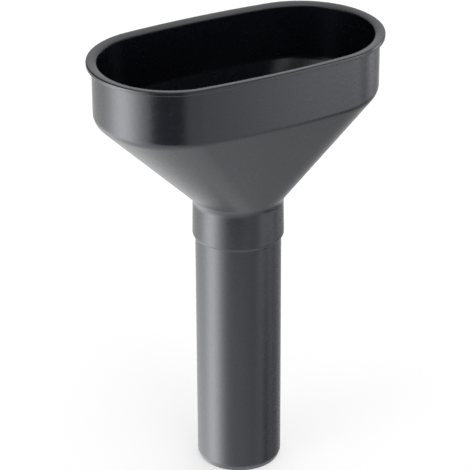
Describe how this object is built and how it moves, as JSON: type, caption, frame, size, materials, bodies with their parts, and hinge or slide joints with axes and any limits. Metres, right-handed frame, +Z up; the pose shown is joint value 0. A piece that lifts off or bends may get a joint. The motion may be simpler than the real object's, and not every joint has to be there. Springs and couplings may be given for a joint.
{
  "type": "oval funnel",
  "caption": "Oval open-topped waste funnel: lipped cup bending into a cone, a round collar and a long plain spigot, moulded as a whole.",
  "frame": {"origin": "middle of the spigot's lower end, which the funnel stands on", "axes": "+Z up along the spigot to the open cup; +X along the cup's long way; +Y across it"},
  "size_m": [0.178, 0.099, 0.265],
  "materials": {
    "anthracite_polyethylene": "satin, moulded"
  },
  "bodies": {
    "root": {"funnel": "anthracite_polyethylene"}
  },
  "joints": []
}
